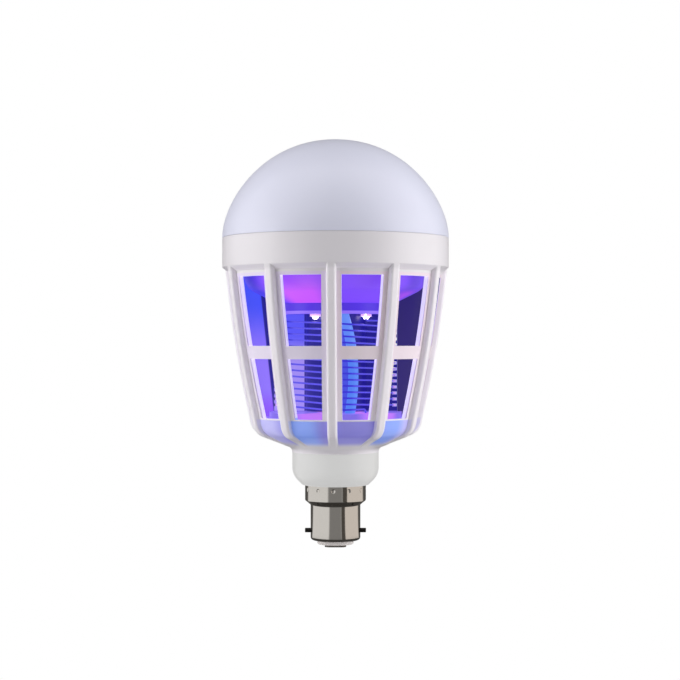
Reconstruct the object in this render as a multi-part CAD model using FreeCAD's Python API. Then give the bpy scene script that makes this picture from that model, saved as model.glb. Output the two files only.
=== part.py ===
"""Insect killer lamp: a bayonet lamp with a lit dome above a ribbed cage, and in the
cage a live wire grid wound round a four-winged former, with ultraviolet LEDs over it.

Millimetres. Z is the lamp's axis and points up from the cap's contact faces, which lie
at z = 0. The bayonet pins stand out along X. Angles are counted from -Y towards +X.
"""

import FreeCAD, Part
import math
import os

from FreeCAD import Vector

# Bayonet cap
cap_r = 11.0
cap_length = 24.4
cap_sheet = 0.5
cap_rim_round = 1.3
collar_r = 13.45
collar_length = 6.8
collar_taper = 2.0
collar_round = 0.7
crimp_count = 12
crimp_r = 1.5
crimp_depth = 0.35
crimp_drop = 1.9
crimp_turn = -4.0
plug_r = 8.0
plug_proud = 1.8
plug_depth = 4.0
plug_round = 0.5
contact_thickness = 0.9
contact_length = 9.4
contact_width = 4.6
contact_spacing = 7.4
contact_shank_r = 1.1
contact_tail = 1.0
pin_r = 1.0
pin_proud = 2.5
pin_rise = 4.2
pin_chamfer = 0.2
pin_root_r = 0.6
pin_head_r = 1.3
pin_head_length = 0.6

# Neck
neck_r = 19.1
neck_length = 15.5
neck_wall = 1.8
neck_chamfer = 4.5
neck_round = 8.0
neck_foot_round = 1.0
spigot_length = 6.0
spigot_wall = 1.5

# Cage housing, from the neck up
cage_r = 50.0
cage_foot_r = 38.7
cage_wall = 2.0
cage_bow = 1.8
bow_round = 500.0
bowl_height = 14.7
bowl_elbow_drop = 7.0
bowl_elbow_round = 7.5
bowl_slope = 0.38
bowl_fade_r = 22.5
bowl_foot_wall = 1.8
panel_elbow_rise = 0.6
foot_round = 2.6
foot_length = 0.8
collar_depth = 4.0
collar_wall = 1.8
lower_window_height = 25.6
band_height = 5.6
upper_window_height = 29.7
head_frame = 2.5
ledge_height = 2.2
ring_height = 13.2
ring_wall = 2.6
rib_count = 11
rib_turn = -2.0
rib_width = 4.2
rib_proud = 2.6
rib_round = 1.2
rib_root = 1.0
window_margin = 2.1
fin_ribs = (0, 3, 6, 8)
fin_width = 3.0
fin_root = 1.0
shelf_rise = 0.4
shelf_width = 4.0
shelf_thickness = 4.2
edge_round = 0.6

# Dome
dome_height = 43.3
dome_wall = 1.8
dome_flank = 14.9
dome_crown = 33.0
dome_lip = 3.0
dome_lip_wall = 1.6

# Lighting tray and white LED board
dish_sheet = 1.2
dish_brim_gap = 0.9
dish_brim_round = 1.0
dish_brim_drop = 9.9
dish_brim_inset = 4.0
dish_floor_r = 25.5
dish_depth = 16.4
dish_round = 7.0
board_thickness = 1.6
white_led_counts = (18, 12, 6)
white_led_inset = 9.4
white_led_step = 11.0
white_led_size = 3.0
white_led_height = 0.8
tray_screw_count = 4
tray_screw_turn = 28.0
tray_screw_r = 1.0
tray_screw_head_r = 1.9
tray_screw_head = 1.4
tray_screw_bite = 3.5
tray_screw_edge = 0.4

# Driver cover, the floor under the grid
floor_thickness = 2.4
floor_drop = 0.4
floor_seat = 1.4

# Grid former
former_base_r = 29.2
former_base = 2.4
core_r = 13.4
core_wall = 1.6
wing_count = 4
wing_turn = -2.0
wing_width = 3.0
wing_r = 27.2
slot_height = 1.3
slot_depth_spare = 0.2
head_plate_r = 26.4
head_plate = 4.6
head_lip = 1.2
head_lip_proud = 0.8

# Grid wires
wire_r = 0.4
wire_pitch = 2.65
wire_quarters = 29
wire_first_rise = 1.7
wire_bend_r = 26.2
wire_bend = 2.5

# Ultraviolet LED board
uv_board_r = 21.5
uv_board = 1.2
uv_led_count = 4
uv_led_circle_r = 16.0
uv_led_turn = -33.0
uv_led_size = 3.4
uv_led_height = 1.0
uv_lens_r = 1.4

# Lead sleeve, bowed in front of the core
sleeve_r = 2.2
sleeve_bore_r = 1.4
sleeve_head = (3.4, -16.0)
sleeve_middle = (7.8, -15.2)
sleeve_foot = (6.2, -15.7)
sleeve_grip = 0.4
sleeve_crest = 0.38

# Driver
driver_board_inset = 2.3
driver_board = 1.6
driver_tail_width = 20.0
driver_rail_width = 5.0
driver_rail_grip = 1.2
driver_top_gap = 2.5
driver_drop = 4.0
component_gap = 1.5
transformer_core = (14.0, 5.7, 10.0)
transformer_coil = (8.7, 9.5, 7.2)
electrolytic_r = 4.0
electrolytic_length = 12.0
film_capacitor_size = (10.0, 5.0, 8.5)
multiplier_capacitor_r = 2.8
multiplier_capacitor_length = 2.4
multiplier_capacitor_gap = 0.6
multiplier_capacitor_count = 4
contact_lead_r = 0.45
contact_lead_bend = 2.0
contact_lead_rise = 4.0
contact_lead_joint = 3.0

# Clearances, and the length under which two points count as one
fit_gap = 0.1
running_gap = 0.35
same_place = 1e-4

# Levels, each stacked on the one below
rim_z = contact_thickness + plug_proud
pin_z = rim_z + pin_rise
collar_top_z = rim_z + cap_length
collar_foot_z = collar_top_z - collar_length
neck_top_z = collar_top_z + neck_length
window_foot_z = neck_top_z + bowl_height
band_foot_z = window_foot_z + lower_window_height
band_top_z = band_foot_z + band_height
window_head_z = band_top_z + upper_window_height
ledge_foot_z = window_head_z + head_frame
ring_foot_z = ledge_foot_z + ledge_height
ring_top_z = ring_foot_z + ring_height
dome_top_z = ring_top_z + dome_height
shelf_z = ring_foot_z + shelf_rise
shelf_under_z = shelf_z - shelf_thickness
floor_top_z = window_foot_z - floor_drop
floor_foot_z = floor_top_z - floor_thickness
former_foot_z = floor_top_z
core_foot_z = former_foot_z + former_base
dish_foot_z = shelf_z - dish_depth
head_foot_z = dish_foot_z - head_plate
wire_first_z = core_foot_z + wire_first_rise
board_foot_z = shelf_z + dish_sheet
board_top_z = board_foot_z + board_thickness

# Radii that follow from the ones above
rib_step = 360.0 / rib_count
ring_bore_r = cage_r - ring_wall
shelf_bore_r = ring_bore_r - shelf_width
spigot_r = collar_r - cap_sheet - fit_gap
neck_bore_r = neck_r - neck_wall
cage_collar_r = neck_bore_r - fit_gap
cage_collar_bore_r = cage_collar_r - collar_wall
driver_board_width = 2 * (neck_bore_r - driver_board_inset)


def direction(angle):
    """Level unit vector at an angle counted from -Y towards +X."""
    turn = math.radians(angle)
    return Vector(math.sin(turn), -math.cos(turn), 0)


def place(radius, angle, z):
    return direction(angle) * radius + Vector(0, 0, z)


def turned_to(shape, angle):
    """Turn a shape drawn along -Y to an angle."""
    copy = shape.copy()
    copy.rotate(Vector(0, 0, 0), Vector(0, 0, 1), angle)
    return copy


def smooth_edges(corners, closed):
    """Straight runs through (point, radius) corners, each corner rounded by a tangent arc."""
    count = len(corners)
    edges = []
    starts, ends, middles = [], [], []
    for index, (point, radius) in enumerate(corners):
        if radius == 0 or (not closed and index in (0, count - 1)):
            starts.append(point)
            ends.append(point)
            middles.append(None)
            continue
        back = (corners[index - 1][0] - point).normalize()
        ahead = (corners[(index + 1) % count][0] - point).normalize()
        half = back.getAngle(ahead) / 2
        run = radius / math.tan(half)
        inward = (back + ahead).normalize()
        starts.append(point + back * run)
        ends.append(point + ahead * run)
        middles.append(point + inward * (radius / math.sin(half) - radius))
    last = count if closed else count - 1
    for index in range(count):
        if middles[index]:
            edges.append(Part.Arc(starts[index], middles[index], ends[index]).toShape())
        after = (index + 1) % count
        if index < last and (ends[index] - starts[after]).Length > same_place:
            edges.append(Part.LineSegment(ends[index], starts[after]).toShape())
    return edges


def profile_face(corners):
    """Face in the XZ plane from (r, z) or (r, z, radius) corners."""
    points = [(Vector(c[0], 0, c[1]), c[2] if len(c) > 2 else 0) for c in corners]
    return Part.Face(Part.Wire(smooth_edges(points, True)))


def revolved(corners):
    return profile_face(corners).revolve(Vector(0, 0, 0), Vector(0, 0, 1), 360)


def shifted(corners, distance):
    """The same run of corners moved sideways by a distance, to the left of its direction."""
    points = [(c[0], c[1]) for c in corners]
    radii = [c[2] if len(c) > 2 else 0 for c in corners]
    normals = []
    for (r0, z0), (r1, z1) in zip(points, points[1:]):
        length = math.hypot(r1 - r0, z1 - z0)
        normals.append(((z0 - z1) / length, (r1 - r0) / length))
    moved = []
    for index, (r, z) in enumerate(points):
        before = normals[max(index - 1, 0)]
        after = normals[min(index, len(normals) - 1)]
        share = distance / (1 + before[0] * after[0] + before[1] * after[1])
        corner = (r + (before[0] + after[0]) * share, z + (before[1] + after[1]) * share)
        bend = before[0] * after[1] - before[1] * after[0]
        radius = radii[index]
        if radius:
            radius = max(radius + (-distance if bend > 0 else distance), 0)
        moved.append((*corner, radius))
    return moved


def sheet(corners, thickness):
    """Closed outline of a sheet whose one face follows the corners."""
    return corners + shifted(corners, thickness)[::-1]


def plate(radius, z, thickness):
    return Part.makeCylinder(radius, thickness, Vector(0, 0, z))


def upright(radius, at, z, height):
    return Part.makeCylinder(radius, height, Vector(at[0], at[1], z))


def block(size, centre):
    """Box of a size, centred in X and Y on a point and standing on it."""
    corner = Vector(centre.x - size[0] / 2, centre.y - size[1] / 2, centre.z)
    return Part.makeBox(*size, corner)


def radial_line(corners, closed):
    """Line in the plane that holds the axis and -Y, through (r, z) or (r, z, radius) corners."""
    points = [(Vector(0, -c[0], c[1]), c[2] if len(c) > 2 else 0) for c in corners]
    return Part.Wire(smooth_edges(points, closed))


def radial_slab(corners, width):
    """Slab of a width whose outline is a radial line."""
    face = Part.Face(radial_line(corners, True))
    face.translate(Vector(-width / 2, 0, 0))
    return face.extrude(Vector(width, 0, 0))


def tube(corners, radius):
    """Round bar along a path of straight runs and tangent arcs."""
    edges = smooth_edges(corners, False)
    start = corners[0][0]
    heading = corners[1][0] - start
    ring = Part.Wire(Part.Circle(start, heading, radius).toShape())
    return Part.Wire(edges).makePipeShell([ring], True, False)


def ring_of(count, first):
    return [first + 360.0 * index / count for index in range(count)]


# Side line of the cage
def rib_r(z):
    """Outer radius of the ribs' straight line at a height."""
    share = (z - window_foot_z) / (ring_foot_z - window_foot_z)
    return cage_foot_r + (cage_r - cage_foot_r) * share


def panel_r(z):
    return rib_r(z) - rib_proud


def wall_bore_r(z):
    return panel_r(z) - cage_wall


elbow_z = window_foot_z - bowl_elbow_drop
bow_z = (window_foot_z + ring_foot_z) / 2
fade_z = elbow_z - bowl_slope * (rib_r(elbow_z) - bowl_fade_r)
panel_elbow_z = elbow_z + panel_elbow_rise
panel_slope = (panel_elbow_z - fade_z) / (panel_r(panel_elbow_z) - bowl_fade_r)


def bowl_inner_z(r):
    """Height of the bowl's inner face at a radius."""
    rise = cage_wall * math.hypot(1, panel_slope)
    return fade_z + panel_slope * (r - bowl_fade_r) + rise


seat_r = wall_bore_r(floor_foot_z) - fit_gap
seat_bore_r = seat_r - floor_seat


def side_bow(z, inset):
    return (rib_r(z) - inset + cage_bow, z, bow_round)


def cage_shell():
    """Ring, recessed panels and bowl, as one turned wall."""
    outer = [
        (cage_r, ring_top_z, edge_round),
        (cage_r, ring_foot_z, edge_round),
        (panel_r(ledge_foot_z), ledge_foot_z, edge_round),
        side_bow(bow_z, rib_proud),
        (panel_r(panel_elbow_z), panel_elbow_z, bowl_elbow_round),
        (bowl_fade_r, fade_z),
        (neck_r, neck_top_z + foot_length, foot_round),
        (neck_r, neck_top_z),
        (cage_collar_r, neck_top_z),
        (cage_collar_r, neck_top_z - collar_depth),
    ]
    inner = [
        (cage_collar_bore_r, neck_top_z - collar_depth),
        (cage_collar_bore_r, bowl_inner_z(cage_collar_bore_r)),
        (seat_bore_r, bowl_inner_z(seat_bore_r), foot_round),
        (seat_bore_r, floor_foot_z),
        (wall_bore_r(floor_foot_z), floor_foot_z),
        side_bow(bow_z, rib_proud + cage_wall),
        (wall_bore_r(shelf_under_z), shelf_under_z),
        (shelf_bore_r, shelf_under_z),
        (shelf_bore_r, shelf_z),
        (ring_bore_r, shelf_z),
        (ring_bore_r, ring_top_z),
    ]
    return revolved(outer + inner)


def rib():
    """One upright rib, proud of the panels and fading into the bowl."""
    depth = rib_proud + cage_wall / 2
    head_z = shelf_z - fit_gap
    end_r = bowl_fade_r - rib_root
    outer = [
        (rib_r(head_z) - fit_gap, head_z, 0),
        side_bow(bow_z, 0),
        (rib_r(elbow_z), elbow_z, bowl_elbow_round),
        (end_r, fade_z - bowl_slope * rib_root, 0),
    ]
    inner = [
        (end_r, fade_z + bowl_foot_wall, 0),
        (panel_r(panel_elbow_z) - cage_wall / 2, panel_elbow_z + cage_wall / 2, foot_round),
        side_bow(bow_z, depth),
        (rib_r(head_z) - depth, head_z, 0),
    ]
    slab = radial_slab(outer + inner, rib_width)
    front = radial_line(outer, False)
    long_edges = []
    for edge in slab.Edges:
        middle = edge.valueAt((edge.FirstParameter + edge.LastParameter) / 2)
        on_flank = abs(abs(middle.x) - rib_width / 2) < same_place
        centre = Part.Vertex(0, middle.y, middle.z)
        if on_flank and front.distToShape(centre)[0] < same_place:
            long_edges.append(edge)
    return slab.makeFillet(rib_round, long_edges)


def window_wedge(foot_z, head_z):
    """Space between two neighbouring ribs' flanks, from one height to another."""
    half_step = math.radians(rib_step / 2)
    apex = (rib_width / 2 + window_margin) / math.sin(half_step)
    reach = cage_r * 1.3
    spread = (reach - apex) * math.tan(half_step)
    corners = [Vector(0, -apex, foot_z), Vector(spread, -reach, foot_z), Vector(-spread, -reach, foot_z)]
    face = Part.Face(Part.makePolygon(corners + corners[:1]))
    return face.extrude(Vector(0, 0, head_z - foot_z))


def dish_under():
    """Underside of the lighting tray, from its flange to its floor."""
    brim_r = shelf_bore_r - dish_brim_gap
    return [
        (ring_bore_r - fit_gap, shelf_z),
        (brim_r, shelf_z, dish_brim_round),
        (brim_r - dish_brim_inset, shelf_z - dish_brim_drop, dish_round),
        (dish_floor_r, dish_foot_z, dish_round),
        (0, dish_foot_z),
    ]


def fin():
    """Inner fin of the cage, from the wall to just short of the former, its base and the tray."""
    inner_r = wing_r + running_gap
    step_r = former_base_r + running_gap
    head_z = shelf_under_z + fin_root
    slab = radial_slab([
        (wall_bore_r(floor_top_z) + fin_root, floor_top_z + fit_gap),
        (step_r, floor_top_z + fit_gap),
        (step_r, core_foot_z + fit_gap),
        (inner_r, core_foot_z + fit_gap),
        (inner_r, head_z),
        (wall_bore_r(head_z) + fin_root, head_z),
        (wall_bore_r(bow_z) + cage_bow / 2 + fin_root, bow_z),
    ], fin_width)
    tray = shifted(dish_under(), fit_gap)
    return slab.cut(revolved(tray + [(0, ring_top_z), (ring_bore_r, ring_top_z)]))


def rib_angle(index):
    return rib_turn + rib_step * index


def tray_screw_places():
    radius = ring_bore_r - tray_screw_head_r - tray_screw_edge
    return [(radius, angle) for angle in ring_of(tray_screw_count, tray_screw_turn)]


def make_cage_housing():
    shape = cage_shell()
    one_rib = rib()
    for index in range(rib_count):
        shape = shape.fuse(turned_to(one_rib, rib_angle(index)))
    one_fin = fin()
    for index in fin_ribs:
        shape = shape.fuse(turned_to(one_fin, rib_angle(index)))
    for index in range(rib_count):
        angle = rib_angle(index + 0.5)
        for foot_z, head_z in ((window_foot_z, band_foot_z), (band_top_z, window_head_z)):
            shape = shape.cut(turned_to(window_wedge(foot_z, head_z), angle))
    for radius, angle in tray_screw_places():
        at = place(radius, angle, 0)
        depth = tray_screw_bite + fit_gap
        shape = shape.cut(upright(tray_screw_r, (at.x, at.y), shelf_z - depth, 2 * depth))
    return shape.removeSplitter()


def wire_stops(first_angle):
    """The bends of one wire, from the lowest up: its angle and height at each wing."""
    step = 360.0 / wing_count
    return [
        (first_angle - step * index, wire_first_z + wire_pitch / 2 * index)
        for index in range(wire_quarters + 1)
    ]


def wire_first_angles():
    return {"grid_wire_live": wing_turn, "grid_wire_neutral": wing_turn + 180.0}


def wire_corner_r():
    """Radius of the sharp corner that the wire's bend rounds off."""
    return wire_bend_r + wire_bend * (1 / math.cos(math.pi / wing_count) - 1)


def wire_end(stop, side):
    """Place where a wire's lead stands, half a side away from one of its end bends."""
    half_turn = 180.0 / wing_count
    radius = wire_corner_r() * math.cos(math.radians(half_turn))
    return place(radius, stop[0] + side * half_turn, stop[1])


def make_grid_wire(first_angle):
    stops = wire_stops(first_angle)
    low, high = wire_end(stops[0], 1), wire_end(stops[-1], -1)
    path = [(Vector(low.x, low.y, floor_foot_z), 0), (low, wire_bend / 2)]
    path += [(place(wire_corner_r(), angle, z), wire_bend) for angle, z in stops]
    path += [(high, wire_bend / 2), (Vector(high.x, high.y, head_foot_z + head_lip), 0)]
    return tube(path, wire_r)


def wire_lead_holes(stop_index, side, z, height):
    """Holes for both wires' leads at one end of the grid: the first stop or the last."""
    holes = []
    for first_angle in wire_first_angles().values():
        at = wire_end(wire_stops(first_angle)[stop_index], side)
        holes.append(upright(wire_r + fit_gap, (at.x, at.y), z, height))
    return holes


def foot_lead_holes(z, height):
    return wire_lead_holes(0, 1, z, height)


def head_lead_holes(z, height):
    return wire_lead_holes(-1, -1, z, height)


def sleeve_arc(radius):
    """Round bar along the sleeve's bowed line, from the base up to the head plate."""
    foot_z = core_foot_z - sleeve_grip
    head_z = head_foot_z + sleeve_grip
    crest_z = foot_z + (head_z - foot_z) * sleeve_crest
    foot = Vector(*sleeve_foot, foot_z)
    crest = Vector(*sleeve_middle, crest_z)
    head = Vector(*sleeve_head, head_z)
    arc = Part.Arc(foot, crest, head)
    heading = arc.tangent(arc.FirstParameter)[0]
    ring = Part.Wire(Part.Circle(foot, heading, radius).toShape())
    return Part.Wire(arc.toShape()).makePipeShell([ring], True, False)


def make_lead_sleeve():
    return sleeve_arc(sleeve_r).cut(sleeve_arc(sleeve_bore_r))


def make_led_lead():
    """Twin lead to the LED boards, inside its sleeve."""
    return sleeve_arc(sleeve_bore_r - fit_gap)


def make_grid_former():
    """Base, hollow core and notched wings, as one moulding."""
    shape = plate(former_base_r, former_foot_z, former_base)
    core_height = head_foot_z - core_foot_z
    shape = shape.fuse(plate(core_r, core_foot_z, core_height))
    wing = radial_slab([
        (core_r - core_wall / 2, core_foot_z),
        (wing_r, core_foot_z),
        (wing_r, head_foot_z),
        (core_r - core_wall / 2, head_foot_z),
    ], wing_width)
    for angle in ring_of(wing_count, wing_turn):
        shape = shape.fuse(turned_to(wing, angle))
    shape = shape.cut(plate(core_r - core_wall, former_foot_z, core_height + former_base))
    half = wing_width / 2
    arc_sink = wire_bend - math.sqrt(wire_bend ** 2 - half ** 2)
    floor_r = wire_bend_r - arc_sink - wire_r - slot_depth_spare
    size = (wing_width * 2, wing_r, slot_height)
    slots = []
    for first_angle in wire_first_angles().values():
        for angle, z in wire_stops(first_angle):
            slot = block(size, Vector(0, -floor_r - wing_r / 2, z - slot_height / 2))
            slots.append(turned_to(slot, angle))
    shape = shape.cut(Part.makeCompound(slots))
    shape = shape.cut(sleeve_arc(sleeve_r + fit_gap / 2))
    for hole in foot_lead_holes(former_foot_z, former_base):
        shape = shape.cut(hole)
    return shape.removeSplitter()


def make_head_plate():
    """Plate over the former, with a lip round its foot and a recess for the LED board."""
    lip_r = head_plate_r + head_lip_proud
    shape = plate(head_plate_r, head_foot_z, head_plate)
    shape = shape.fuse(plate(lip_r, head_foot_z, head_lip))
    shape = shape.cut(plate(uv_board_r + fit_gap, head_foot_z, uv_board))
    for hole in head_lead_holes(head_foot_z, head_lip + fit_gap):
        shape = shape.cut(hole)
    return shape.removeSplitter()


def make_uv_board():
    shape = plate(uv_board_r, head_foot_z, uv_board)
    for hole in head_lead_holes(head_foot_z, uv_board):
        shape = shape.cut(hole)
    return shape.cut(sleeve_arc(sleeve_r + fit_gap / 2))


def make_uv_led(angle):
    """One LED under its board: a square body with a round lens below it."""
    at = place(uv_led_circle_r, angle, head_foot_z - uv_led_height)
    body = block((uv_led_size, uv_led_size, uv_led_height), Vector(0, -uv_led_circle_r, at.z))
    lens = Part.makeSphere(uv_lens_r, Vector(0, -uv_led_circle_r, at.z), Vector(0, 0, 1), -90, 0)
    return turned_to(body.fuse(lens), angle)


def make_floor():
    shape = plate(seat_r, floor_foot_z, floor_thickness)
    for hole in foot_lead_holes(floor_foot_z, floor_thickness):
        shape = shape.cut(hole)
    return shape


def make_lighting_tray():
    shape = revolved(sheet(dish_under(), -dish_sheet))
    for radius, angle in tray_screw_places():
        at = place(radius, angle, 0)
        shape = shape.cut(upright(tray_screw_r + fit_gap, (at.x, at.y), shelf_z, dish_sheet))
    return shape


def make_white_led_board():
    shape = plate(dish_under()[0][0], board_foot_z, board_thickness)
    for radius, angle in tray_screw_places():
        at = place(radius, angle, 0)
        shape = shape.cut(upright(tray_screw_r + fit_gap, (at.x, at.y), board_foot_z, board_thickness))
    return shape


def make_white_leds():
    leds = []
    size = (white_led_size, white_led_size, white_led_height)
    for index, count in enumerate(white_led_counts):
        radius = ring_bore_r - white_led_inset - white_led_step * index
        led = block(size, Vector(0, -radius, board_top_z))
        leds += [turned_to(led, angle) for angle in ring_of(count, 0)]
    return Part.makeCompound(leds)


def make_tray_screws():
    screws = []
    for radius, angle in tray_screw_places():
        at = place(radius, angle, 0)
        length = tray_screw_bite + dish_sheet + board_thickness
        shank = upright(tray_screw_r, (at.x, at.y), board_top_z - length, length)
        head = upright(tray_screw_head_r, (at.x, at.y), board_top_z, tray_screw_head)
        screws.append(shank.fuse(head).removeSplitter())
    return Part.makeCompound(screws)


def make_dome():
    """Blown dome with a lip that stands inside the ring."""
    def crown(radius, height):
        curve = Part.BezierCurve()
        curve.setPoles([
            Vector(radius, 0, ring_top_z),
            Vector(radius, 0, ring_top_z + dome_flank * height / dome_height),
            Vector(dome_crown * radius / cage_r, 0, ring_top_z + height),
            Vector(0, 0, ring_top_z + height),
        ])
        return curve.toShape()

    lip_r = ring_bore_r - fit_gap
    lip_bore_r = lip_r - dome_lip_wall
    inner_r = cage_r - dome_wall
    corners = [
        Vector(inner_r, 0, ring_top_z), Vector(lip_bore_r, 0, ring_top_z - dome_lip),
        Vector(lip_r, 0, ring_top_z - dome_lip), Vector(lip_r, 0, ring_top_z),
        Vector(cage_r, 0, ring_top_z),
    ]
    corners.insert(1, Vector(lip_bore_r, 0, ring_top_z - (inner_r - lip_bore_r)))
    edges = [Part.LineSegment(a, b).toShape() for a, b in zip(corners, corners[1:])]
    edges.append(crown(cage_r, dome_height))
    edges.append(Part.LineSegment(Vector(0, 0, dome_top_z), Vector(0, 0, dome_top_z - dome_wall)).toShape())
    edges.append(crown(inner_r, dome_height - dome_wall))
    face = Part.Face(Part.Wire(Part.sortEdges(edges)[0]))
    return face.revolve(Vector(0, 0, 0), Vector(0, 0, 1), 360)


def rail(side):
    """Grooved rail in the neck that holds one edge of the driver board."""
    foot_z = collar_top_z + neck_chamfer
    height = neck_top_z - collar_depth - foot_z - fit_gap
    edge_x = driver_board_width / 2
    inner_x = edge_x - driver_rail_grip
    bar = Part.makeBox(neck_r - neck_wall / 2 - inner_x, driver_rail_width, height,
                       Vector(inner_x, -driver_rail_width / 2, foot_z))
    bar = bar.common(plate(neck_r - neck_wall / 2, foot_z, height))
    groove = Part.makeBox(driver_rail_grip + fit_gap, driver_board + 2 * fit_gap, height,
                          Vector(inner_x, -driver_board / 2 - fit_gap, foot_z))
    bar = bar.cut(groove)
    return bar if side > 0 else bar.mirror(Vector(0, 0, 0), Vector(1, 0, 0))


def make_neck_housing():
    """Neck with a spigot inside the cap's collar and rails for the driver board."""
    foot_r = neck_r - neck_chamfer
    spigot_bore_r = spigot_r - spigot_wall
    corners = [
        (neck_r, neck_top_z),
        (neck_r, collar_top_z + neck_chamfer, neck_round),
        (foot_r, collar_top_z, neck_foot_round),
        (spigot_r, collar_top_z),
        (spigot_r, collar_top_z - spigot_length),
        (spigot_bore_r, collar_top_z - spigot_length),
        (spigot_bore_r, collar_top_z + neck_wall),
        (foot_r - neck_wall / 2, collar_top_z + neck_wall),
        (neck_bore_r, collar_top_z + neck_chamfer + neck_wall / 2, neck_round - neck_wall),
        (neck_bore_r, neck_top_z),
    ]
    shape = revolved(corners)
    return shape.fuse([rail(1), rail(-1)]).removeSplitter()


def make_cap_shell():
    outer = [
        (collar_r, collar_top_z),
        (collar_r, collar_foot_z, collar_round),
        (cap_r, collar_foot_z - collar_taper, collar_round),
        (cap_r, rim_z, cap_rim_round),
        (plug_r + fit_gap, rim_z),
    ]
    shape = revolved(sheet(outer, -cap_sheet))
    crimp_z = collar_top_z - crimp_drop
    dent_r = collar_r + crimp_r - crimp_depth
    for angle in ring_of(crimp_count, crimp_turn):
        shape = shape.cut(Part.makeSphere(crimp_r, place(dent_r, angle, crimp_z)))
    for side in (1, -1):
        shape = shape.cut(Part.makeCylinder(pin_root_r, cap_r * 2, Vector(0, 0, pin_z), Vector(side, 0, 0)))
    return shape


def make_bayonet_pin(side):
    """Pin with a thinner root riveted through the cap's wall, and its head inside."""
    inner_x = cap_r - cap_sheet
    along = Vector(side, 0, 0)
    shank = Part.makeCylinder(pin_r, pin_proud, Vector(side * cap_r, 0, pin_z), along)
    tip_x = cap_r + pin_proud - same_place
    tip = [edge for edge in shank.Edges if abs(edge.CenterOfMass.x) > tip_x]
    shank = shank.makeChamfer(pin_chamfer, tip)
    start = Vector(side * (inner_x - pin_head_length), 0, pin_z)
    root = Part.makeCylinder(pin_root_r, pin_head_length + cap_sheet, start, along)
    head = Part.makeCylinder(pin_head_r, pin_head_length, start, along)
    head = head.common(plate(inner_x, pin_z - 2 * pin_head_r, 4 * pin_head_r))
    return shank.fuse([root, head]).removeSplitter()


def contact_centres():
    return {"contact_front": -contact_spacing / 2, "contact_back": contact_spacing / 2}


def contact_shank_height():
    return plug_proud + cap_sheet + plug_depth + contact_tail


def make_cap_insulator():
    """Insulating plug that fills the cap's end and carries the contacts."""
    body_r = cap_r - cap_sheet - fit_gap
    body_foot_z = rim_z + cap_sheet
    inner_round = cap_rim_round - cap_sheet + fit_gap
    shape = revolved([
        (0, contact_thickness), (plug_r, contact_thickness, plug_round), (plug_r, body_foot_z),
        (body_r - inner_round, body_foot_z), (body_r, body_foot_z + inner_round),
        (body_r, body_foot_z + plug_depth), (0, body_foot_z + plug_depth),
    ])
    for side in (1, -1):
        head_room = pin_head_length + fit_gap
        start = Vector(side * (cap_r - cap_sheet - head_room), 0, pin_z)
        shape = shape.cut(Part.makeCylinder(pin_head_r + fit_gap, 2 * head_room, start, Vector(side, 0, 0)))
    for y in contact_centres().values():
        shape = shape.cut(upright(contact_shank_r, (0, y), contact_thickness, contact_shank_height()))
    return shape


def make_contact(y):
    """Contact face with rounded ends, and the shank that runs up through the plug."""
    half = (contact_length - contact_width) / 2
    bar = block((2 * half, contact_width, contact_thickness), Vector(0, y, 0))
    ends = [upright(contact_width / 2, (x, y), 0, contact_thickness) for x in (-half, half)]
    face = bar.fuse(ends).removeSplitter()
    face = face.common(Part.makeCylinder(plug_r - plug_round, contact_thickness))
    shank = upright(contact_shank_r, (0, y), contact_thickness, contact_shank_height())
    return face.fuse(shank).removeSplitter()


driver_foot_z = collar_top_z - driver_drop
driver_top_z = floor_foot_z - driver_top_gap
driver_step_z = collar_top_z + neck_chamfer


def make_driver_board():
    tail = block((driver_tail_width, driver_board, driver_step_z - driver_foot_z), Vector(0, 0, driver_foot_z))
    width = driver_board_width
    body = block((width, driver_board, driver_top_z - driver_step_z), Vector(0, 0, driver_step_z))
    return tail.fuse(body).removeSplitter()


def make_transformer():
    """Core and coil on the front of the driver board."""
    foot = Vector(0, -driver_board / 2 - transformer_coil[1] / 2, driver_step_z + component_gap)
    lift = (transformer_core[2] - transformer_coil[2]) / 2
    core = block(transformer_core, foot)
    coil = block(transformer_coil, foot + Vector(0, 0, lift))
    return core.fuse(coil).removeSplitter()


def make_electrolytic_capacitor():
    z = driver_step_z + 2 * component_gap + transformer_core[2] + electrolytic_r
    end = Vector(-electrolytic_length / 2, -driver_board / 2 - electrolytic_r, z)
    return Part.makeCylinder(electrolytic_r, electrolytic_length, end, Vector(1, 0, 0))


def make_film_capacitor():
    depth = film_capacitor_size[1]
    foot = Vector(0, driver_board / 2 + depth / 2, driver_step_z + component_gap)
    return block(film_capacitor_size, foot)


def make_multiplier_capacitors():
    """Round high-voltage capacitors in a row on the back of the board."""
    step = 2 * multiplier_capacitor_r + multiplier_capacitor_gap
    z = driver_step_z + 2 * component_gap + film_capacitor_size[2] + multiplier_capacitor_r
    first_x = -step * (multiplier_capacitor_count - 1) / 2
    pieces = []
    for index in range(multiplier_capacitor_count):
        foot = Vector(first_x + step * index, driver_board / 2, z)
        pieces.append(Part.makeCylinder(multiplier_capacitor_r, multiplier_capacitor_length, foot, Vector(0, 1, 0)))
    return Part.makeCompound(pieces)


def make_contact_lead(y):
    """Lead from a contact's shank up to the edge of the driver board."""
    foot_z = contact_thickness + contact_shank_height()
    board_y = math.copysign(driver_board / 2 + contact_lead_r, y)
    path = [
        (Vector(0, y, foot_z), 0),
        (Vector(0, y, foot_z + contact_lead_rise), contact_lead_bend),
        (Vector(0, board_y, driver_foot_z - contact_lead_bend), contact_lead_bend),
        (Vector(0, board_y, driver_foot_z + contact_lead_joint), 0),
    ]
    return tube(path, contact_lead_r)


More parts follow.
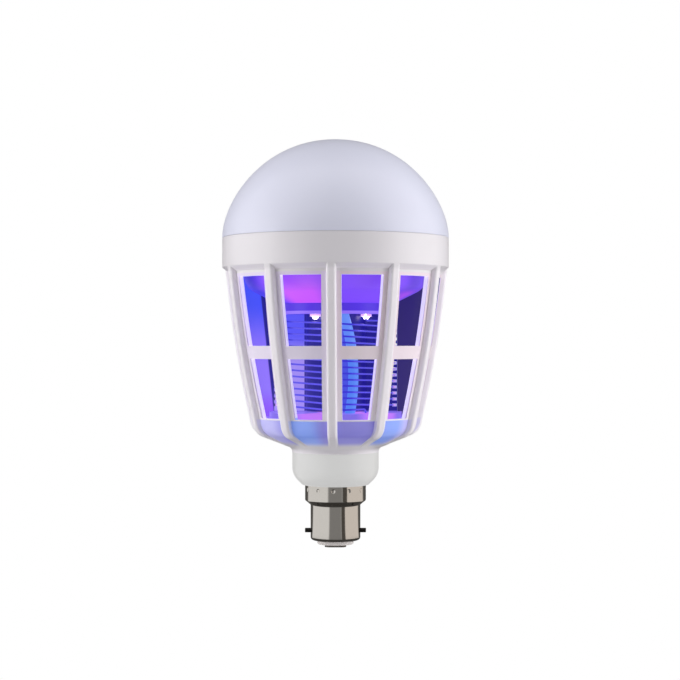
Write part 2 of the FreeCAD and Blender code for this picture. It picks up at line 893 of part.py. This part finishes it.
def parts():
    pieces = {
        "diffuser_dome": make_dome(),
        "cage_housing": make_cage_housing(),
        "neck_housing": make_neck_housing(),
        "cap_shell": make_cap_shell(),
        "cap_insulator": make_cap_insulator(),
        "bayonet_pin_right": make_bayonet_pin(1),
        "bayonet_pin_left": make_bayonet_pin(-1),
        "lighting_tray": make_lighting_tray(),
        "white_led_board": make_white_led_board(),
        "white_leds": make_white_leds(),
        "tray_screws": make_tray_screws(),
        "grid_floor": make_floor(),
        "grid_former": make_grid_former(),
        "former_head_plate": make_head_plate(),
        "uv_led_board": make_uv_board(),
        "lead_sleeve": make_lead_sleeve(),
        "led_lead": make_led_lead(),
        "driver_board": make_driver_board(),
        "transformer": make_transformer(),
        "electrolytic_capacitor": make_electrolytic_capacitor(),
        "film_capacitor": make_film_capacitor(),
        "multiplier_capacitors": make_multiplier_capacitors(),
    }
    for name, angle in wire_first_angles().items():
        pieces[name] = make_grid_wire(angle)
    for index, angle in enumerate(ring_of(uv_led_count, uv_led_turn)):
        pieces[f"uv_led_{index + 1}"] = make_uv_led(angle)
    for name, y in contact_centres().items():
        pieces[name] = make_contact(y)
        pieces[name.replace("contact", "contact_lead")] = make_contact_lead(y)
    return pieces


os.makedirs("parts", exist_ok=True)
for node, solid in parts().items():
    solid.exportStep(f"parts/{node}.step")
    print(node, len(solid.Solids), solid.isValid(), round(solid.Volume, 1))
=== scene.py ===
"""Finishes and light for the insect killer lamp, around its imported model.

Blender works in metres, with Z along the lamp's axis. Heights and radii that place a colour
are in mm, bearings are in degrees from the front, and colours are written as they look on a
screen, 0 to 255.
"""

import math

import bpy
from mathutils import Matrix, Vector


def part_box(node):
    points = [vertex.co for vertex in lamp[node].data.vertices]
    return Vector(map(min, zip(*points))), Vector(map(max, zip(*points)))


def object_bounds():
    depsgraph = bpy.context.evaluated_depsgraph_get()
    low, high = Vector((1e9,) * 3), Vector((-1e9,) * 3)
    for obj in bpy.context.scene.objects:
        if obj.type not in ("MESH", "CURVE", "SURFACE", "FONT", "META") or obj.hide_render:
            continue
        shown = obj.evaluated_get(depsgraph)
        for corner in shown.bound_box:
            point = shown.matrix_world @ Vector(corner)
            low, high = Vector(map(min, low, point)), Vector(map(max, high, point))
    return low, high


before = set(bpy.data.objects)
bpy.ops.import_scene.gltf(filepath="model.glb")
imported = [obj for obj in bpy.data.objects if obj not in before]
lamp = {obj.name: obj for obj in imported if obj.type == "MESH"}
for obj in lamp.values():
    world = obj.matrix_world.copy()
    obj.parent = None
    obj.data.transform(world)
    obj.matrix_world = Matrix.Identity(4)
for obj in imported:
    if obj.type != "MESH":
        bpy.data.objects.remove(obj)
cad_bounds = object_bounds()

MM = 0.001
RIB_TURN = math.radians(-2.0)
RIB_STEP = math.radians(360.0 / 11)
QUARTER_TURN = math.radians(90.0)

FORMER_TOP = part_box("grid_former")[1].z / MM

BLACK = (0, 0, 0, 1)
WHITE = (1, 1, 1, 1)


def screen(red, green, blue):
    """Linear colour, with alpha, from a colour as a screen shows it."""
    def linear(value):
        share = value / 255.0
        return share / 12.92 if share <= 0.04045 else ((share + 0.055) / 1.055) ** 2.4
    return (linear(red), linear(green), linear(blue), 1.0)


class Graph:
    """Short calls that add nodes to a tree and link them."""

    def __init__(self, tree):
        self.tree = tree

    def add(self, kind, inputs=None, **settings):
        node = self.tree.nodes.new(kind)
        for name, value in settings.items():
            setattr(node, name, value)
        for name, value in (inputs or {}).items():
            self.feed(node.inputs[name], value)
        return node

    def feed(self, socket, value):
        if isinstance(value, bpy.types.NodeSocket):
            self.tree.links.new(value, socket)
        else:
            socket.default_value = value

    def math(self, operation, *values):
        node = self.add("ShaderNodeMath", operation=operation)
        for socket, value in zip(node.inputs, values):
            self.feed(socket, value)
        return node.outputs[0]

    def times(self, first, second):
        return self.math("MULTIPLY", first, second)

    def smooth(self, value, low, high):
        """0 below low, 1 above high and smooth between them."""
        node = self.add("ShaderNodeMapRange",
                        {"Value": value, "From Min": low, "From Max": high},
                        interpolation_type="SMOOTHSTEP")
        return node.outputs["Result"]

    def band(self, value, start, end, blur):
        """1 between start and end, with blurred edges."""
        return self.times(self.smooth(value, start - blur, start + blur),
                          self.smooth(value, end + blur, end - blur))

    def mix(self, factor, first, second):
        node = self.add("ShaderNodeMix", data_type="RGBA")
        self.feed(node.inputs["Factor"], factor)
        self.feed(node.inputs[6], first)
        self.feed(node.inputs[7], second)
        return node.outputs[2]

    def scaled(self, colour, factor):
        """A colour dimmed by a factor."""
        return self.mix(factor, BLACK, colour)

    def around_axis(self, vector):
        """Distance from the Z axis, turn round it from the front in radians, and height."""
        x, y, z = self.add("ShaderNodeSeparateXYZ", {"Vector": vector}).outputs
        square = self.math("ADD", self.times(x, x), self.times(y, y))
        turn = self.math("ARCTAN2", x, self.times(y, -1.0))
        return self.math("SQRT", square), turn, z


def make_place_group():
    """Where a point lies: radius, height and distance from the nearest rib's middle in mm, and
    its turn round the axis in degrees, in shares of a quarter and in shares of a rib's step."""
    tree = bpy.data.node_groups.new("lamp_place", "ShaderNodeTree")
    tree.interface.new_socket("Point", in_out="INPUT", socket_type="NodeSocketVector")
    for name in ("Radius", "Height", "Angle", "Quarter", "Rib", "Across"):
        tree.interface.new_socket(name, in_out="OUTPUT", socket_type="NodeSocketFloat")
    g = Graph(tree)
    entry, leave = g.add("NodeGroupInput"), g.add("NodeGroupOutput")
    radius, turn, height = g.around_axis(entry.outputs["Point"])
    from_rib = g.math("SUBTRACT", turn, RIB_TURN)
    quarter = g.math("FLOORED_MODULO", g.math("DIVIDE", from_rib, QUARTER_TURN), 1.0)
    rib = g.math("FLOORED_MODULO", g.math("DIVIDE", from_rib, RIB_STEP), 1.0)
    nearest = g.math("ABSOLUTE", g.math("SUBTRACT", rib, g.math("ROUND", rib)))
    across = g.times(radius, g.math("SINE", g.times(nearest, RIB_STEP)))
    g.feed(leave.inputs["Radius"], g.math("DIVIDE", radius, MM))
    g.feed(leave.inputs["Height"], g.math("DIVIDE", height, MM))
    g.feed(leave.inputs["Angle"], g.math("DEGREES", turn))
    g.feed(leave.inputs["Quarter"], quarter)
    g.feed(leave.inputs["Rib"], rib)
    g.feed(leave.inputs["Across"], g.math("DIVIDE", across, MM))
    return tree


def make_moulding_group():
    """Faint clouding and fine grain of moulded plastic."""
    tree = bpy.data.node_groups.new("moulding_grain", "ShaderNodeTree")
    for name, kind in (("Point", "Vector"), ("Colour", "Color"),
                       ("Clouding", "Float"), ("Grain Scale", "Float")):
        tree.interface.new_socket(name, in_out="INPUT", socket_type=f"NodeSocket{kind}")
    tree.interface.new_socket("Colour", in_out="OUTPUT", socket_type="NodeSocketColor")
    tree.interface.new_socket("Grain", in_out="OUTPUT", socket_type="NodeSocketFloat")
    g = Graph(tree)
    entry, leave = g.add("NodeGroupInput"), g.add("NodeGroupOutput")
    point = entry.outputs["Point"]
    cloud = g.add("ShaderNodeTexNoise", {"Vector": point, "Scale": 45.0, "Detail": 3.0})
    grain = g.add("ShaderNodeTexNoise", {"Vector": point, "Detail": 2.0,
                                         "Scale": entry.outputs["Grain Scale"]})
    darker = g.times(cloud.outputs["Fac"], entry.outputs["Clouding"])
    colour = g.scaled(entry.outputs["Colour"], g.math("SUBTRACT", 1.0, darker))
    g.feed(leave.inputs["Colour"], colour)
    g.feed(leave.inputs["Grain"], grain.outputs["Fac"])
    return tree


place_group = make_place_group()
moulding_group = make_moulding_group()

GRAIN_DEPTH = 0.0002
# How a colour lit by the LEDs is split: dimmed into the base colour and painted in as glow
LIT_BASE = 0.4
LIT_GLOW = 0.8


class Finish(Graph):
    """A new material, its Principled BSDF and the point on the lamp."""

    def __init__(self, name, **constants):
        self.material = bpy.data.materials.new(name)
        self.material.use_nodes = True
        super().__init__(self.material.node_tree)
        self.shader = self.tree.nodes["Principled BSDF"]
        for key, value in constants.items():
            self.shader.inputs[key.replace("_", " ")].default_value = value
        self.point = self.add("ShaderNodeTexCoord").outputs["Object"]
        place = self.add("ShaderNodeGroup", {}, node_tree=place_group)
        self.feed(place.inputs["Point"], self.point)
        self.radius = place.outputs["Radius"]
        self.height = place.outputs["Height"]
        self.angle = place.outputs["Angle"]
        self.quarter = place.outputs["Quarter"]
        self.rib = place.outputs["Rib"]
        self.across = place.outputs["Across"]

    def set(self, name, value):
        self.feed(self.shader.inputs[name], value)

    def fine_noise(self, detail):
        """Noise as fine as the grain of brushed or plated metal."""
        node = self.add("ShaderNodeTexNoise",
                        {"Vector": self.point, "Scale": 900.0, "Detail": detail})
        return node.outputs["Fac"]

    def moulding(self, colour, clouding=0.03, bump=0.05):
        """Plastic colour with its clouding and grain. Gives the colour to go on with."""
        node = self.add("ShaderNodeGroup", {}, node_tree=moulding_group)
        self.feed(node.inputs["Point"], self.point)
        self.feed(node.inputs["Colour"], colour)
        self.feed(node.inputs["Clouding"], clouding)
        self.feed(node.inputs["Grain Scale"], 900.0)
        relief = self.add("ShaderNodeBump", {"Height": node.outputs["Grain"],
                                             "Strength": bump, "Distance": GRAIN_DEPTH})
        self.set("Normal", relief.outputs["Normal"])
        return node.outputs["Colour"]

    def glow(self, colour, strength=1.0):
        self.set("Emission Color", colour)
        self.shader.inputs["Emission Strength"].default_value = strength

    def lit(self, colour):
        """A surface beside the lamp's own LEDs, whose LED light is painted in: mostly glow in its
        colour, over a dimmed base colour.
        """
        self.set("Base Color", self.scaled(colour, LIT_BASE))
        self.glow(colour, LIT_GLOW)


# Colours of the outer pieces. The warm white and the opal are the plastics' own colours; the opal
# and the neck colour also feed painted glows; the panel, rib, window edge, sill and bowl colours
# are painted light.
WARM_WHITE = screen(236, 232, 236)
OPAL = screen(218, 219, 235)
NECK_WHITE = screen(151, 151, 150)
PANEL_PAINTED_LAVENDER = screen(232, 218, 250)
PANEL_PAINTED_PINK = screen(244, 220, 232)
RIB_PAINTED_LIGHT = screen(250, 245, 250)
LAVENDER = screen(236, 228, 255)
SILL_PAINTED_BLUE = screen(150, 185, 250)
BOWL_GLOW_BLUE = screen(96, 138, 234)
BOWL_GLOW_VIOLET = screen(105, 100, 205)
BOWL_GLOW_LAVENDER = screen(160, 158, 224)

# Colours inside the cage, in ultraviolet light: the navy ones are painted shade, the others painted
# light and shade, with painted glare on the wires by the LEDs; the LED glare is the LEDs' own light
NAVY = screen(26, 20, 128)
DEEP_NAVY = screen(41, 30, 100)
LIT_BLUE = screen(94, 92, 240)
LIT_DEEP_BLUE = screen(78, 84, 210)
LIT_VIOLET = screen(168, 148, 238)
FIN_LIT_BLUE = screen(62, 76, 232)
FIN_LIT_VIOLET = screen(138, 112, 236)
FIN_LIT_FOOT = screen(138, 86, 234)
CEILING_LIT_VIOLET = screen(128, 78, 238)
CEILING_DIM = screen(112, 76, 224)
CEILING_LIT_BLUE = screen(66, 52, 208)
CEILING_GLINT_MAGENTA = screen(215, 94, 246)
FOOT_PAINTED_MAGENTA = screen(196, 124, 242)
FLOOR_PAINTED_VIOLET = screen(130, 110, 220)
LED_GLARE = (5.0, 4.2, 5.0, 1.0)
WIRE_GLARE = (3.0, 2.6, 3.0, 1.0)

# Side line of the cage's panels, as the part's source draws it
PANEL_FOOT_Z, PANEL_FOOT_R, PANEL_SLOPE = 57.3, 36.1, 0.1723
PANEL_MIDDLE_Z, PANEL_BOW, PANEL_BOW_ROUND = 90.1, 1.05, 500.0

# Heights where the housing's colours change
WINDOW_HEIGHTS = (56.9, 119.6)
RIB_HEIGHTS = (44.0, 121.0)
BOWL_FOOT, BOWL_HEAD = (44.8, 47.5), (57.0, 56.4)
SILL_HEAD = (58.5, 57.6)

# Bearings where painted light from inside, and on one side painted shade, colour the housing
BLUE_LEFT, BLUE_RIGHT = (-38.0, -13.0), (34.0, 53.0)
BOWL_SIDES = (36.0, 50.0)
SHADED_SIDE = (72.0, 100.0)

# The edge between the lit and the dark part of an inner fin
FIN_EDGE_Z, FIN_EDGE_LEAN, FIN_EDGE_RADII = 59.4, 0.113, (28.0, 27.4)


def dome_finish():
    m = Finish("opal_dome", Roughness=0.32, Coat_Weight=0.15, Coat_Roughness=0.2)
    m.set("Base Color", m.moulding(OPAL, clouding=0.01, bump=0.02))
    # Painted light: a faint glow in the dome's colour lifts its shaded middle.
    m.glow(OPAL, 0.08)
    return m.material


def panel_depth(m):
    """How far, in mm, a point lies behind the cage's recessed and slightly bowed panels."""
    above_foot = m.math("SUBTRACT", m.height, PANEL_FOOT_Z)
    panel = m.math("ADD", PANEL_FOOT_R + PANEL_BOW, m.times(above_foot, PANEL_SLOPE))
    off = m.math("SUBTRACT", m.height, PANEL_MIDDLE_Z)
    bow = m.math("DIVIDE", m.times(off, off), 2 * PANEL_BOW_ROUND)
    return m.math("SUBTRACT", m.math("SUBTRACT", panel, bow), m.radius)


def fin_light_and_shade(m):
    """Painted light and shade on the cage's inner faces: blue light at the top to violet lower down
    on one side of a rib, a navy shade strip towards the axis, and dark navy shade on the other
    side.
    """
    lower = m.mix(m.smooth(m.height, 70.0, 60.0), FIN_LIT_VIOLET, FIN_LIT_FOOT)
    bright = m.mix(m.smooth(m.height, 82.0, 108.0), lower, FIN_LIT_BLUE)
    lean = m.times(m.math("SUBTRACT", m.height, FIN_EDGE_Z), FIN_EDGE_LEAN)
    leaning = m.math("SUBTRACT", m.radius, lean)
    bright = m.mix(m.smooth(leaning, *FIN_EDGE_RADII), bright, NAVY)
    return m.mix(m.smooth(m.rib, 0.55, 0.45), DEEP_NAVY, bright)


def housing_finish():
    """White moulding with painted light and shade: lavender and pink panels, lighter rib fronts,
    lavender and blue window edges with navy shade on the right, blue and violet light and navy
    shade on its inner faces, and a painted glow at the bowl.
    """
    m = Finish("white_housing", Roughness=0.3, Coat_Weight=0.1, Coat_Roughness=0.15)
    depth = panel_depth(m)
    in_cage = m.band(m.height, *WINDOW_HEIGHTS, 0.3)
    off_rib = m.smooth(m.across, 2.0, 2.3)
    edge = m.times(m.smooth(depth, 0.1, 0.5), in_cage)
    inner = m.times(m.smooth(depth, 1.8, 2.3), in_cage)
    panel = m.times(m.times(off_rib, in_cage), m.smooth(depth, -0.6, -0.1))
    rib_front = m.times(m.smooth(depth, 0.0, -0.4), m.band(m.height, *RIB_HEIGHTS, 1.0))
    beside_blue = m.math("ADD", m.band(m.angle, *BLUE_LEFT, 6.0),
                         m.band(m.angle, *BLUE_RIGHT, 6.0))
    bowl = m.times(m.times(m.smooth(m.height, *BOWL_FOOT), m.smooth(m.height, *BOWL_HEAD)), off_rib)

    # Painted light on the bowl below the windows: blue at the blue-lit bearings, violet at the
    # front and lavender towards the sides.
    to_side = m.smooth(m.math("ABSOLUTE", m.angle), *BOWL_SIDES)
    bowl_painted_glow = m.mix(beside_blue, m.mix(to_side, BOWL_GLOW_VIOLET, BOWL_GLOW_LAVENDER), BOWL_GLOW_BLUE)
    # Painted light on the window edges: lavender, and blue on the sills at the blue-lit bearings.
    on_sill = m.times(beside_blue, m.smooth(m.height, *SILL_HEAD))
    # Painted shade: the deeper part of the window edges between 72 and 100 degrees, on the right,
    # is painted navy.
    shaded = m.times(m.band(m.angle, *SHADED_SIDE, 2.0), m.smooth(depth, 0.3, 0.7))
    edge_painted_light = m.mix(shaded, m.mix(on_sill, LAVENDER, SILL_PAINTED_BLUE), DEEP_NAVY)
    inner_light_and_shade = fin_light_and_shade(m)
    # Painted light: the panels take on lavender left of the front and pink right of it.
    panel_painted_light = m.mix(m.smooth(m.angle, -4.0, 4.0), PANEL_PAINTED_LAVENDER, PANEL_PAINTED_PINK)

    base = m.mix(m.times(panel, 0.6), m.moulding(WARM_WHITE), panel_painted_light)
    # Painted light: the rib fronts are painted lighter than the white moulding.
    base = m.mix(m.times(rib_front, 0.8), base, RIB_PAINTED_LIGHT)
    base = m.mix(m.times(bowl, 0.8), base, bowl_painted_glow)
    base = m.mix(edge, base, edge_painted_light)
    m.set("Base Color", m.mix(inner, base, m.scaled(inner_light_and_shade, LIT_BASE)))
    # Painted glow: full on the inner faces, weaker on the window edges and weaker still on the
    # bowl.
    glow = m.mix(inner, m.scaled(edge_painted_light, m.times(edge, 0.6)), inner_light_and_shade)
    m.glow(m.mix(m.times(bowl, 0.36), glow, bowl_painted_glow), 0.82)
    return m.material


def neck_finish():
    m = Finish("white_neck", Roughness=0.34, Coat_Weight=0.1)
    m.set("Base Color", m.scaled(m.moulding(NECK_WHITE), 0.65))
    # Painted light: the base colour is dimmed and a strong glow in the neck's colour lifts it out
    # of shade.
    m.glow(NECK_WHITE, 1.5)
    return m.material


def cap_finish():
    m = Finish("bright_nickel", Metallic=1.0)
    fine = m.fine_noise(3.0)
    m.set("Roughness", m.math("ADD", 0.08, m.times(fine, 0.02)))
    m.set("Base Color", m.mix(fine, screen(216, 213, 208), screen(210, 207, 202)))
    return m.material


def plain_metal(name, colour, roughness):
    m = Finish(name, Metallic=1.0)
    fine = m.fine_noise(2.0)
    shade = m.math("SUBTRACT", 1.0, m.times(fine, 0.25))
    m.set("Base Color", m.scaled(colour, shade))
    m.set("Roughness", m.math("ADD", roughness, m.times(fine, 0.15)))
    return m.material


def plain_plastic(name, colour, roughness=0.4, glow=0.0):
    m = Finish(name, Roughness=roughness)
    m.set("Base Color", m.moulding(colour, clouding=0.08))
    m.glow(colour, glow)
    return m.material


# Plastic whose LED light is painted in as glow: the grid floor in violet and the UV LED board.
def lit_plastic(name, colour):
    m = Finish(name, Roughness=0.4)
    m.lit(m.moulding(colour, clouding=0.1))
    return m.material


def tray_finish():
    """White tray with its ultraviolet light painted in: violet, bluer to the left, dimmer to the
    right, and painted magenta glints by the LEDs.
    """
    m = Finish("lit_tray", Roughness=0.45)
    left = m.times(m.band(m.angle, -46.0, -8.0, 10.0), m.smooth(m.radius, 44.0, 34.0))
    right = m.times(m.band(m.angle, 56.0, 74.0, 10.0), m.smooth(m.radius, 38.0, 33.0))
    glint = m.math("ADD", m.times(left, 0.85), m.times(right, 0.45))
    colour = m.mix(m.smooth(m.angle, 44.0, 58.0), CEILING_LIT_VIOLET, CEILING_DIM)
    colour = m.mix(m.smooth(m.angle, -45.0, -70.0), colour, CEILING_LIT_BLUE)
    m.lit(m.mix(glint, colour, CEILING_GLINT_MAGENTA))
    return m.material


def former_finish():
    """Former with painted light and shade: navy shade, blue to violet light on the faces that look
    at an LED, and violet and magenta light painted on its foot.
    """
    m = Finish("former_light_and_shade", Roughness=0.4)
    faces_led = m.times(m.smooth(m.quarter, 0.34, 0.28), m.smooth(m.radius, 28.0, 26.5))
    front = m.smooth(m.math("ABSOLUTE", m.angle), 60.0, 50.0)
    off_core = m.smooth(m.radius, 13.6, 13.9)
    lit = m.times(faces_led, m.math("MAXIMUM", front, off_core))
    lit_colour = m.mix(m.smooth(m.height, 82.0, 94.0), LIT_VIOLET, LIT_BLUE)
    lit_colour = m.mix(m.smooth(m.angle, -4.0, 6.0), lit_colour, LIT_DEEP_BLUE)
    pink = m.math("ADD", m.band(m.angle, -34.0, -6.0, 8.0), m.band(m.angle, 24.0, 62.0, 8.0))
    foot_colour = m.mix(pink, FLOOR_PAINTED_VIOLET, FOOT_PAINTED_MAGENTA)
    on_foot = m.smooth(m.height, 60.2, 59.2)
    m.lit(m.mix(on_foot, m.mix(lit, NAVY, lit_colour), foot_colour))
    return m.material


def head_plate_finish():
    m = Finish("uv_lit_head_plate", Roughness=0.4)
    lip = m.smooth(m.height, FORMER_TOP + 1.5, FORMER_TOP + 1.0)
    # Painted light: the plate's violet is LED light painted in as glow, paler at its lip by the
    # former's top.
    m.lit(m.mix(lip, screen(80, 50, 208), screen(144, 112, 234)))
    return m.material


def wire_finish():
    """Bright wire with its violet light painted in: painted highlights where it bends over the
    wings, strongest low down, darker and lighter stretches along its spans, and painted glare,
    palest of all, by the LEDs.
    """
    m = Finish("grid_wire", Metallic=0.6, Roughness=0.3)
    bend = m.math("ADD", m.smooth(m.quarter, 0.07, 0.03), m.smooth(m.quarter, 0.93, 0.97))
    pale = m.mix(m.smooth(m.height, 90.0, 66.0), screen(120, 110, 220), screen(240, 180, 240))
    span = m.mix(m.smooth(m.quarter, 0.2, 0.35), screen(58, 54, 190), screen(98, 92, 212))
    colour = m.mix(bend, span, pale)
    by_led = m.smooth(m.height, FORMER_TOP - 2.3, FORMER_TOP - 1.7)
    m.set("Base Color", colour)
    m.glow(m.mix(by_led, m.scaled(colour, 0.5), WIRE_GLARE), LIT_GLOW)
    return m.material


def sleeve_finish():
    m = Finish("lit_sleeve", Roughness=0.35)
    # Painted light: the sleeve's LED light is painted in as glow, a little lighter towards the top.
    m.lit(m.mix(m.smooth(m.height, 78.0, 98.0), screen(88, 136, 230), screen(104, 146, 234)))
    return m.material


def led_finish():
    m = Finish("uv_led", Roughness=0.2)
    m.set("Base Color", m.moulding(screen(120, 90, 200), clouding=0.02))
    lens = m.smooth(m.height, FORMER_TOP - 0.85, FORMER_TOP - 1.1)
    m.glow(m.mix(lens, screen(232, 180, 255), LED_GLARE))
    return m.material


def dress(material, *names):
    for name in names:
        mesh = lamp[name].data
        mesh.materials.clear()
        mesh.materials.append(material)


def dress_lamp():
    dress(dome_finish(), "diffuser_dome")
    dress(housing_finish(), "cage_housing")
    dress(neck_finish(), "neck_housing")
    dress(cap_finish(), "cap_shell")
    dress(plain_metal("dull_pin", screen(70, 68, 66), 0.35),
          "bayonet_pin_left", "bayonet_pin_right")
    # The insulator's small glow is painted light, lifting it out of shade.
    dress(plain_plastic("cap_insulator", screen(212, 206, 203), 0.25, 0.3), "cap_insulator")
    dress(plain_metal("tinned_contact", screen(196, 192, 188), 0.3),
          "contact_front", "contact_back")
    dress(tray_finish(), "lighting_tray")
    dress(former_finish(), "grid_former")
    dress(lit_plastic("lit_floor", FLOOR_PAINTED_VIOLET), "grid_floor")
    dress(head_plate_finish(), "former_head_plate")
    dress(lit_plastic("lit_uv_board", screen(60, 42, 190)), "uv_led_board")
    dress(sleeve_finish(), "lead_sleeve")
    dress(wire_finish(), "grid_wire_live", "grid_wire_neutral")
    dress(led_finish(), "uv_led_1", "uv_led_2", "uv_led_3", "uv_led_4")
    dress(plain_plastic("lead_insulation", screen(210, 206, 200)),
          "led_lead", "contact_lead_front", "contact_lead_back")
    dress(plain_plastic("white_board", screen(232, 232, 230)), "white_led_board")
    dress(plain_plastic("phosphor", screen(236, 222, 130)), "white_leds")
    dress(plain_metal("zinc_screw", screen(190, 190, 192), 0.3), "tray_screws")
    dress(plain_plastic("circuit_board", screen(60, 110, 70)), "driver_board")
    dress(plain_plastic("component_black", screen(40, 40, 46)),
          "electrolytic_capacitor", "transformer")
    dress(plain_plastic("component_red", screen(150, 50, 40)),
          "film_capacitor", "multiplier_capacitors")


# Cards round the lamp that bright metal reflects, by their bearings
LEFT_CARD = screen(236, 234, 232)
RIGHT_CARD = screen(230, 221, 213)
GREY_CARD, GREY_BEARINGS = screen(140, 138, 136), (-27.0, 26.0)
DARK_CARD, DARK_BEARINGS = screen(84, 80, 75), (26.0, 43.0)
REAR_CARD, REAR_BEARINGS = screen(90, 88, 85), (118.0, 130.0)
SHADE_CARD, SHADE_REACH = screen(70, 68, 66), (0.03, 0.05)


def make_studio_group():
    """What bright metal sees towards a point: a white card, grey and dark cards, a warm card."""
    tree = bpy.data.node_groups.new("studio_cards", "ShaderNodeTree")
    tree.interface.new_socket("Toward", in_out="INPUT", socket_type="NodeSocketVector")
    tree.interface.new_socket("Colour", in_out="OUTPUT", socket_type="NodeSocketColor")
    tree.interface.new_socket("Reach", in_out="OUTPUT", socket_type="NodeSocketFloat")
    g = Graph(tree)
    entry, leave = g.add("NodeGroupInput"), g.add("NodeGroupOutput")
    reach, turn, _ = g.around_axis(entry.outputs["Toward"])
    bearing = g.math("DEGREES", turn)
    cards = g.mix(g.smooth(bearing, 30.0, 40.0), LEFT_CARD, RIGHT_CARD)
    cards = g.mix(g.band(bearing, *GREY_BEARINGS, 4.0), cards, GREY_CARD)
    cards = g.mix(g.band(bearing, *DARK_BEARINGS, 2.0), cards, DARK_CARD)
    behind = g.smooth(g.math("ABSOLUTE", bearing), *REAR_BEARINGS)
    g.feed(leave.inputs["Colour"], g.mix(behind, cards, REAR_CARD))
    g.feed(leave.inputs["Reach"], reach)
    return tree


studio_group = make_studio_group()


def studio_cards(g, coordinates):
    node = g.add("ShaderNodeGroup", {}, node_tree=studio_group)
    g.feed(node.inputs["Toward"], g.add("ShaderNodeTexCoord").outputs[coordinates])
    return node.outputs


FLOOR_HALF = 3.0
FLOOR_DROP = 0.0005
FLOOR_WHITE = screen(215, 215, 216)
WORLD_LIGHT = (0.24, 0.24, 0.245, 1)


def backdrop_material():
    """Pale floor that the camera sees as white and metal sees as the studio, with a painted dark
    shadow close by.
    """
    material = bpy.data.materials.new("pale_floor")
    material.use_nodes = True
    g = Graph(material.node_tree)
    g.tree.nodes.clear()
    path = g.add("ShaderNodeLightPath")
    cards = studio_cards(g, "Object")
    mirrored = g.mix(g.smooth(cards["Reach"], *SHADE_REACH), SHADE_CARD, cards["Colour"])
    diffuse = g.add("ShaderNodeBsdfDiffuse", {"Color": FLOOR_WHITE})
    plain = g.add("ShaderNodeEmission", {"Strength": 1.0})
    g.feed(plain.inputs["Color"], g.mix(path.outputs["Is Camera Ray"], mirrored, WHITE))
    seen = g.math("MAXIMUM", path.outputs["Is Camera Ray"], path.outputs["Is Glossy Ray"])
    blend = g.add("ShaderNodeMixShader", {"Fac": seen})
    g.feed(blend.inputs[1], diffuse.outputs[0])
    g.feed(blend.inputs[2], plain.outputs[0])
    out = g.add("ShaderNodeOutputMaterial")
    g.feed(out.inputs["Surface"], blend.outputs[0])
    return material


def build_floor():
    mesh = bpy.data.meshes.new("floor")
    corners = [(x * FLOOR_HALF, y * FLOOR_HALF, -FLOOR_DROP)
               for x, y in ((-1, -1), (1, -1), (1, 1), (-1, 1))]
    mesh.from_pydata(corners, [], [(0, 1, 2, 3)])
    mesh.materials.append(backdrop_material())
    floor = bpy.data.objects.new("floor", mesh)
    bpy.context.scene.collection.objects.link(floor)


def build_world():
    """Even studio light, white to the camera, with cards that metal reflects."""
    world = bpy.data.worlds.new("studio")
    world.use_nodes = True
    bpy.context.scene.world = world
    g = Graph(world.node_tree)
    background = world.node_tree.nodes["Background"]
    path = g.add("ShaderNodeLightPath")
    cards = studio_cards(g, "Generated")["Colour"]
    light = g.mix(path.outputs["Is Glossy Ray"], WORLD_LIGHT, cards)
    g.feed(background.inputs["Color"], g.mix(path.outputs["Is Camera Ray"], light, WHITE))
    background.inputs["Strength"].default_value = 1.0


# Name, place, size in metres and power in watts
LIGHTS = (
    ("left_softbox", (-0.8, -0.15, 0.2), 0.6, 5.2),
    ("right_softbox", (0.8, -0.15, 0.2), 0.6, 5.9),
    ("top_softbox", (0.0, -0.1, 0.85), 0.5, 2.2),
)


def build_lights():
    target = Vector((0, 0, (cad_bounds[0][2] + cad_bounds[1][2]) / 2))
    for name, spot, size, power in LIGHTS:
        light = bpy.data.lights.new(name, "AREA")
        light.size = size
        light.energy = power
        holder = bpy.data.objects.new(name, light)
        holder.location = spot
        holder.rotation_euler = (target - Vector(spot)).to_track_quat("-Z", "Y").to_euler()
        holder.visible_glossy = False
        bpy.context.scene.collection.objects.link(holder)


CAMERA_DISTANCE = 0.7
CAMERA_SIDE = 0.00199
CAMERA_HEIGHT = 0.091
PIXEL = 0.0004425
PHOTO_SIZE = 680
SENSOR = 36.0


def build_camera():
    camera = bpy.data.cameras.new("camera")
    camera.sensor_width = SENSOR
    camera.lens = SENSOR * CAMERA_DISTANCE / (PIXEL * PHOTO_SIZE)
    camera.clip_start = 0.01
    holder = bpy.data.objects.new("camera", camera)
    holder.location = (CAMERA_SIDE, -CAMERA_DISTANCE, CAMERA_HEIGHT)
    holder.rotation_euler = (math.radians(90), 0, 0)
    bpy.context.scene.collection.objects.link(holder)
    bpy.context.scene.camera = holder


dress_lamp()
build_floor()
build_world()
build_lights()
build_camera()
bpy.context.scene.view_settings.view_transform = "Standard"


def plain(bounds):
    return [[round(value, 6) for value in corner] for corner in bounds]
